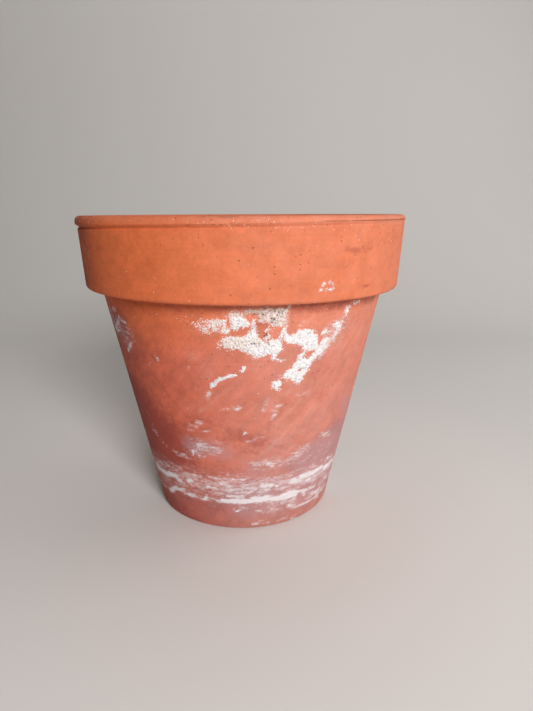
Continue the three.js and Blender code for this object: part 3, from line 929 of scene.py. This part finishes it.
def crumbs_tree():
    """Scatters crumbs over a surface, thickest where its attribute 'grains' is high."""
    tree, n, given = new_tree(
        "Scattered crumbs",
        "GeometryNodeTree",
        {
            "Surface": (GEOMETRY, None),
            "Density": (FLOAT, 1e6),
            "Smallest": (FLOAT, 0.0001),
            "Largest": (FLOAT, 0.0003),
            "Seed": (INTEGER, 0),
            "Material": (MATERIAL, None),
        },
        {"Crumbs": GEOMETRY},
    )
    share = n.add("GeometryNodeInputNamedAttribute", "grains", data_type="FLOAT").outputs[0]
    density = n.math("MULTIPLY", share, given["Density"])
    spots = n.add(
        "GeometryNodeDistributePointsOnFaces",
        given["Surface"],
        inputs={"Density": density, "Seed": given["Seed"]},
    )
    crumb = n.add("GeometryNodeMeshIcoSphere", 1.0, 1).outputs["Mesh"]
    chance = n.add("FunctionNodeRandomValue", data_type="FLOAT", inputs={"Seed": given["Seed"]}).outputs[1]
    size = n.mix(n.math("POWER", chance, 2.0), given["Smallest"], given["Largest"])
    flattest, roundest = (0.6, 0.6, 0.35), (1.0, 1.0, 0.6)
    stretch = n.add("FunctionNodeRandomValue", flattest, roundest, data_type="FLOAT_VECTOR").outputs[0]
    scale = n.add("ShaderNodeVectorMath", stretch, operation="SCALE", inputs={"Scale": size}).outputs[0]
    placed = n.add(
        "GeometryNodeInstanceOnPoints",
        spots.outputs["Points"],
        inputs={"Instance": crumb, "Rotation": spots.outputs["Rotation"], "Scale": scale},
    ).outputs[0]
    placed = n.add("GeometryNodeRealizeInstances", placed).outputs[0]
    placed = n.add("GeometryNodeSetMaterial", placed, inputs={"Material": given["Material"]}).outputs[0]
    n.add("NodeGroupOutput", placed)
    return tree


class POT_OT_scatter_crumbs(Operator):
    """Scatter crumbs of lime round the crusts and on the lip"""

    bl_idname = "clay_pot.scatter_crumbs"
    bl_label = "Scatter lime crumbs"

    def execute(self, context):
        body = bpy.data.objects.get("clay_pot")
        if body is None:
            raise RuntimeError("the crumbs lie on the clay body, so turn that first")
        source = bpy.data.objects.new("crumb bed", body.data)
        context.scene.collection.objects.link(source)
        scatter = context.scene.crumb_scatter
        values = {
            "Density": scatter.density,
            "Smallest": scatter.smallest,
            "Largest": scatter.largest,
            "Seed": scatter.seed,
            "Material": lime_material(context.scene.pot_finish),
        }
        mesh = bake_nodes(source, crumbs_tree(), values, "lime_crumbs")
        bpy.data.objects.remove(source)
        place("lime_crumbs", mesh, "lime")
        return {"FINISHED"}


# ---------------------------------------------------------------- materials


def film_group():
    """A film broken up by noise. Strength says how much of it there is, and Hardness 0 gives a soft veil."""
    tree, n, given = new_tree(
        "Broken film",
        "ShaderNodeTree",
        {
            "Where": (VECTOR, None),
            "Strength": (FLOAT, 0.5),
            "Patch Scale": (FLOAT, 220.0),
            "Grain Scale": (FLOAT, 1100.0),
            "Breakup": (FLOAT, 1.0),
            "Hardness": (FLOAT, 0.3),
        },
        {"Mask": FLOAT},
    )
    patch = n.noise(given["Where"], given["Patch Scale"], 4.0, 0.6)
    grain = n.noise(given["Where"], given["Grain Scale"], 3.0, 0.65)
    rough = n.math("ADD", n.math("MULTIPLY", patch, 1.3), n.math("MULTIPLY", grain, 1.5))
    rough = n.math("MULTIPLY", n.math("SUBTRACT", rough, 1.4), given["Breakup"])
    edge = n.math("MULTIPLY_ADD", given["Hardness"], -0.5, 0.5)
    low, high = n.math("SUBTRACT", 0.5, edge), n.math("ADD", 0.5, edge)
    mask = n.step(n.math("ADD", given["Strength"], rough), low, high)
    mask = n.math("MULTIPLY", mask, n.step(given["Strength"], 0.03, 0.2))
    n.add("NodeGroupOutput", mask)
    return tree


def grain_group():
    """Fired clay close to: sandy grain, open pits and the drag lines of turning."""
    tree, n, given = new_tree(
        "Clay grain",
        "ShaderNodeTree",
        {
            "Where": (VECTOR, None),
            "Grain Scale": (FLOAT, 900.0),
            "Pit Scale": (FLOAT, 260.0),
            "Pit Share": (FLOAT, 0.12),
            "Pit Size": (FLOAT, 1.0),
        },
        {"Shade": FLOAT, "Pits": FLOAT, "Lines": FLOAT, "Height": FLOAT},
    )
    coarse = n.noise(given["Where"], n.math("MULTIPLY", given["Grain Scale"], 0.28), 3.0, 0.55)
    fine = n.noise(given["Where"], given["Grain Scale"], 4.0, 0.65)
    shade = n.math("ADD", n.math("MULTIPLY", coarse, 0.5), n.math("MULTIPLY", fine, 0.5))
    cell = n.add("ShaderNodeTexVoronoi", inputs={"Vector": given["Where"], "Scale": given["Pit Scale"]})
    chance = n.add("ShaderNodeSeparateColor", cell.outputs["Color"]).outputs
    size = n.math("MULTIPLY", n.math("MULTIPLY_ADD", chance[1], 0.16, 0.07), given["Pit Size"])
    pit = n.step(cell.outputs["Distance"], size, n.math("MULTIPLY", size, 0.5))
    chosen = n.math("LESS_THAN", chance[0], given["Pit Share"])
    pits = n.math("MULTIPLY", pit, chosen)
    flat = n.vector("MULTIPLY", given["Where"], (1.0, 1.0, 22.0))
    lines = n.noise(flat, 42.0, 3.0, 0.6)
    height = n.math("ADD", n.math("MULTIPLY", fine, 0.5), n.math("MULTIPLY", coarse, 0.35))
    height = n.math("ADD", height, n.math("MULTIPLY", lines, 0.25))
    height = n.math("SUBTRACT", height, n.math("MULTIPLY", pits, 1.6))
    n.add("NodeGroupOutput", shade, pits, lines, height)
    return tree


GROUPS = {"Broken film": film_group, "Clay grain": grain_group}


def group(nodes, name, **inputs):
    """A group's outputs. Each group has one copy, made when it is first asked for."""
    tree = bpy.data.node_groups.get(name) or GROUPS[name]()
    inputs = {key.replace("_", " "): value for key, value in inputs.items()}
    return nodes.add("ShaderNodeGroup", node_tree=tree, inputs=inputs).outputs


def film_over(nodes, colour, finish_colour, amount, **settings):
    """Lays a broken film of another colour over a colour. Gives the new colour and the film's mask."""
    mask = group(nodes, "Broken film", **settings)["Mask"]
    return nodes.blend(nodes.math("MULTIPLY", mask, amount), colour, rgb(finish_colour)), mask


def new_material(name):
    """An empty material, with its nodes and its shader."""
    material = bpy.data.materials.new(name)
    material.use_nodes = True
    material.node_tree.nodes.clear()
    nodes = Nodes(material.node_tree)
    shader = nodes.add("ShaderNodeBsdfPrincipled")
    nodes.add("ShaderNodeOutputMaterial", shader.outputs[0])
    return material, nodes, shader


def stored(nodes, name):
    """An attribute of the mesh, as a number."""
    return nodes.add("ShaderNodeAttribute", attribute_name=name).outputs["Fac"]


def rgb(colour):
    return (*colour, 1.0)


def slant(nodes, where):
    """Coordinates stretched along a line that climbs to the right, so that noise runs with it."""
    angle = {"Angle": math.radians(48)}
    turned = nodes.add("ShaderNodeVectorRotate", where, rotation_type="Y_AXIS", inputs=angle)
    return nodes.vector("MULTIPLY", turned.outputs[0], (0.35, 1.0, 1.6))


DARK_GRIT = (0.06, 0.045, 0.035, 1.0)


def gritty(nodes, where):
    """Dark grains of grit, as thick as the attribute 'grit' says."""
    share = nodes.math("MULTIPLY", stored(nodes, "grit"), 0.75)
    grit = group(nodes, "Clay grain", Where=where, Pit_Scale=1000.0, Pit_Share=share, Pit_Size=3.2)
    return nodes.math("MULTIPLY", grit["Pits"], 0.85)


def varied(nodes, tone, *changes):
    """A tone made lighter and darker by noises round 0.5, each given with its amount."""
    for noise, amount in changes:
        tone = nodes.math("MULTIPLY_ADD", nodes.math("SUBTRACT", noise, 0.5), amount, tone)
    return tone


def bare_clay(n, finish, where, height, clay):
    """Clay, darker and redder towards the foot, clouded by the fire, peppered with sand and rubbed, under a
    pale dusting that is partly painted light, strongest on the lit right side.
    """
    mottle = n.noise(where, 38.0, 4.0, 0.6)
    patchy = n.noise(where, 120.0, 5.0, 0.65)
    up = varied(n, height, (mottle, 26.0))
    colour = n.blend(n.step(up, 2.0, 62.0), rgb(finish.low_clay), rgb(finish.wall_clay))
    colour = n.blend(n.step(up, 84.0, 118.0), colour, rgb(finish.collar_clay))
    tone = varied(n, 1.0, (mottle, 0.3), (patchy, 0.42), (clay["Shade"], 0.7), (clay["Lines"], 0.16))
    rubbed = n.math("SUBTRACT", n.noise(slant(n, where), 95.0, 4.0, 0.62), 0.5)
    rubbed = n.math("MULTIPLY", rubbed, n.step(height, 116.0, 96.0))
    tone = n.math("MULTIPLY_ADD", rubbed, 0.85, tone)
    colour = n.blend(1.0, colour, n.xyz(tone, tone, tone), "MULTIPLY")
    # Painted light: the pale tint is stronger on the lit right side.
    dust_and_light_share = n.math("MULTIPLY", stored(n, "dust_and_light"), varied(n, 1.0, (patchy, 1.4)))
    return n.blend(dust_and_light_share, colour, rgb(finish.dust_and_light))


def stained_clay(n, finish, where, colour):
    """Smears, the deep red stain with its painted shade and shadow, and the violet haze, each as thick as
    its attribute says.
    """
    colour, _ = film_over(
        n, colour, finish.dust_and_light, 0.36,
        Where=slant(n, where), Strength=stored(n, "smear"), Patch_Scale=90.0, Grain_Scale=260.0, Breakup=0.8,
    )
    # The deep red film also lays the painted shade and shadow stored with the damp.
    colour, _ = film_over(
        n, colour, finish.damp_and_shade_clay, 0.8,
        Where=where, Strength=stored(n, "damp_and_shade"), Patch_Scale=60.0, Grain_Scale=400.0, Breakup=0.5,
    )
    colour, _ = film_over(
        n, colour, finish.haze, 0.62,
        Where=where, Strength=stored(n, "haze"), Patch_Scale=70.0, Grain_Scale=500.0, Breakup=0.5,
    )
    return colour


def salted_clay(n, finish, flat, colour):
    """The thin veil and the salt rings. Gives the new colour and the rings' mask."""
    colour, _ = film_over(
        n, colour, finish.salt, 0.64,
        Where=flat, Strength=stored(n, "veil"), Patch_Scale=190.0, Grain_Scale=1000.0, Breakup=1.2,
        Hardness=0.4,
    )
    return film_over(
        n, colour, finish.salt, 0.93,
        Where=flat, Strength=stored(n, "salt"), Patch_Scale=210.0, Grain_Scale=1200.0, Breakup=1.15,
        Hardness=0.4,
    )


def soiled_clay(n, finish, where, flat, colour):
    """Soil and a tide line on the inside, and specks of lime round the crusts."""
    colour, _ = film_over(
        n, colour, finish.soil, 0.42,
        Where=where, Strength=stored(n, "soil"), Patch_Scale=80.0, Grain_Scale=800.0,
    )
    colour, _ = film_over(
        n, colour, finish.salt, 0.4, Where=flat, Strength=stored(n, "tide"), Patch_Scale=150.0
    )
    colour, _ = film_over(
        n, colour, finish.lime, 0.8,
        Where=where, Strength=stored(n, "lime"), Patch_Scale=500.0, Grain_Scale=1500.0, Breakup=1.1,
        Hardness=0.7,
    )
    return n.blend(gritty(n, where), colour, DARK_GRIT)


def join_shader(n, shader, colour, rough, relief, strength, distance, specular):
    """Puts a finished colour, roughness and relief on a material's shader."""
    n.tree.links.new(colour, shader.inputs["Base Color"])
    n.tree.links.new(rough, shader.inputs["Roughness"])
    bump = n.add("ShaderNodeBump", inputs={"Strength": strength, "Distance": distance, "Height": relief})
    n.tree.links.new(bump.outputs[0], shader.inputs["Normal"])
    shader.inputs["Specular IOR Level"].default_value = specular


def clay_material(finish):
    """Fired clay with everything that the years have left on it, and the painted shade and painted light
    laid in with the stains and the pits.
    """
    material, n, shader = new_material("Fired clay")
    where = n.add("ShaderNodeTexCoord").outputs["Object"]
    flat = n.vector("MULTIPLY", where, (1.0, 1.0, 3.2))
    height = n.math("DIVIDE", n.add("ShaderNodeSeparateXYZ", where).outputs[2], MM)
    clay = group(
        n, "Clay grain", Where=where, Grain_Scale=760.0, Pit_Scale=620.0, Pit_Share=0.22, Pit_Size=1.1
    )
    colour = bare_clay(n, finish, where, height, clay)
    colour = stained_clay(n, finish, where, colour)
    # The pits are darkened with the deep red: dark specks of the clay, and painted shade in the pores.
    pit_shade = n.math("MULTIPLY", clay["Pits"], n.step(height, 104.0, 118.0, 0.14, 0.3))
    colour = n.blend(pit_shade, colour, rgb(finish.damp_and_shade_clay))
    colour, salt = salted_clay(n, finish, flat, colour)
    colour = soiled_clay(n, finish, where, flat, colour)
    rough = n.mix(salt, n.math("MULTIPLY_ADD", clay["Shade"], 0.16, 0.72), 0.92)
    relief = n.math("ADD", clay["Height"], n.math("MULTIPLY", salt, 0.2))
    join_shader(n, shader, colour, rough, relief, strength=0.85, distance=0.0004, specular=0.32)
    return material


def lime_material(finish):
    """Dry lime, the same for the crusts and the crumbs."""
    if "Lime crust" in bpy.data.materials:
        return bpy.data.materials["Lime crust"]
    material, n, shader = new_material("Lime crust")
    where = n.add("ShaderNodeTexCoord").outputs["Object"]
    clay = group(
        n, "Clay grain", Where=where, Grain_Scale=1500.0, Pit_Scale=900.0, Pit_Share=0.8, Pit_Size=2.6
    )
    cloudy = n.math("MULTIPLY", n.step(n.noise(where, 420.0, 4.0, 0.65), 0.48, 0.72), 0.6)
    aged = n.math("MAXIMUM", cloudy, n.math("MULTIPLY", stored(n, "cream"), 0.62))
    colour = n.blend(aged, rgb(finish.lime), rgb(finish.old_lime))
    tone = varied(n, 1.0, (clay["Shade"], 0.5))
    colour = n.blend(1.0, colour, n.xyz(tone, tone, tone), "MULTIPLY")
    colour, _ = film_over(
        n, colour, finish.soil, 0.7,
        Where=where, Strength=stored(n, "soil"), Patch_Scale=400.0, Grain_Scale=1600.0,
    )
    # Painted shade in the crust's pits, greyed with the violet haze colour.
    colour = n.blend(n.math("MULTIPLY", clay["Pits"], 0.42), colour, rgb(finish.haze))
    colour = n.blend(gritty(n, where), colour, DARK_GRIT)
    rough = n.math("MULTIPLY_ADD", clay["Shade"], 0.1, 0.86)
    join_shader(n, shader, colour, rough, clay["Height"], strength=0.6, distance=0.0002, specular=0.25)
    return material


# ---------------------------------------------------------------- the studio


class POT_OT_set_studio(Operator):
    """Lay the pale floor, hang the soft lights and set up the camera"""

    bl_idname = "clay_pot.set_studio"
    bl_label = "Set up the studio"

    def execute(self, context):
        look = context.scene.studio_look
        self.lay_floor(context, look)
        self.hang_lights(context, look)
        self.aim_camera(context)
        context.scene.view_settings.view_transform = "Standard"
        return {"FINISHED"}

    def lay_floor(self, context, look):
        """A pale floor that runs up into a back wall in one sweep."""
        material, _, shader = new_material("Pale studio floor")
        shader.inputs["Base Color"].default_value = rgb(look.floor_colour)
        shader.inputs["Roughness"].default_value = 0.8
        half_width, front, back, bend, top = 2.2, -1.6, 0.7, 0.35, 1.8
        turn = np.linspace(0, math.pi / 2, 17)[1:]
        profile = [(front, 0.0), (back - bend, 0.0)]
        profile += [(back - bend + bend * math.sin(a), bend - bend * math.cos(a)) for a in turn]
        profile += [(back, top)]
        mesh = bpy.data.meshes.new("pale floor")
        verts = [(x, y, z) for y, z in profile for x in (-half_width, half_width)]
        mesh.from_pydata(verts, [], [(i, i + 1, i + 3, i + 2) for i in range(0, len(verts) - 2, 2)])
        mesh.materials.append(material)
        mesh.shade_smooth()
        floor = bpy.data.objects.new("pale_floor", mesh)
        context.scene.collection.objects.link(floor)

    def hang_lights(self, context, look):
        lights = [  # name, place, size, power
            ("key", (0.26, -0.86, 0.50), 0.3, look.key_power),
            ("fill", (0.8, 0.1, 0.3), 0.6, look.fill_power),
            ("backdrop", (0.0, 0.25, 1.3), 0.8, look.back_power),
        ]
        for name, spot, size, power in lights:
            light = bpy.data.lights.new(name, "AREA")
            light.shape, light.size, light.energy = "SQUARE", size, power
            lamp = bpy.data.objects.new(name, light)
            lamp.location = spot
            aim = Vector((0, 0.7, 0.3)) if name == "backdrop" else Vector((0, 0, 0.07))
            lamp.rotation_euler = (aim - lamp.location).to_track_quat("-Z", "Y").to_euler()
            lamp.visible_camera = False
            context.scene.collection.objects.link(lamp)
        world = bpy.data.worlds.new("Studio")
        world.use_nodes = True
        background = world.node_tree.nodes["Background"]
        background.inputs[0].default_value = (1.0, 0.97, 0.94, 1.0)
        background.inputs[1].default_value = look.sky
        context.scene.world = world

    def aim_camera(self, context):
        """A wide lens at the height of the lip, looking slightly down and a little past the pot."""
        pitch, roll, yaw = math.radians(14.99), math.radians(0.22), math.radians(2.51)
        ahead = Vector((math.sin(yaw) * math.cos(pitch), math.cos(yaw) * math.cos(pitch), -math.sin(pitch)))
        level = Vector((math.cos(yaw), -math.sin(yaw), 0))
        above = level.cross(ahead)
        right = level * math.cos(roll) + above * math.sin(roll)
        up = above * math.cos(roll) - level * math.sin(roll)
        data = bpy.data.cameras.new("Camera")
        data.lens, data.sensor_width = 27.04, 36.0
        camera = bpy.data.objects.new("Camera", data)
        turn = Matrix((right, up, -ahead)).transposed().to_4x4()
        camera.matrix_world = Matrix.Translation((0, -0.2735, 0.1481)) @ turn
        context.scene.collection.objects.link(camera)
        context.scene.camera = camera


# ---------------------------------------------------------------- the add-on


class POT_PT_panel(Panel):
    """The pot's steps, in order"""

    bl_idname = "POT_PT_panel"
    bl_label = "Weathered clay pot"
    bl_space_type = "VIEW_3D"
    bl_region_type = "UI"
    bl_category = "Clay pot"

    def draw(self, context):
        for step in STEPS:
            self.layout.operator(step.bl_idname)
        for group_name in SETTINGS:
            settings = getattr(context.scene, group_name)
            for key in settings.__annotations__:
                self.layout.prop(settings, key)


STEPS = (POT_OT_turn_body, POT_OT_grow_lime, POT_OT_scatter_crumbs, POT_OT_set_studio)
SETTINGS = {
    "pot_shape": PotShape,
    "pot_finish": PotFinish,
    "crumb_scatter": CrumbScatter,
    "studio_look": StudioLook,
}


def register():
    for each in (*SETTINGS.values(), *STEPS, POT_PT_panel):
        bpy.utils.register_class(each)
    for name, settings in SETTINGS.items():
        setattr(bpy.types.Scene, name, PointerProperty(type=settings))


def unregister():
    for name in SETTINGS:
        delattr(bpy.types.Scene, name)
    for each in reversed((*SETTINGS.values(), *STEPS, POT_PT_panel)):
        bpy.utils.unregister_class(each)


def main():
    register()
    bpy.ops.clay_pot.turn_body()
    bpy.ops.clay_pot.grow_lime()
    bpy.ops.clay_pot.scatter_crumbs()
    bpy.ops.clay_pot.set_studio()


if __name__ == "__main__":
    main()
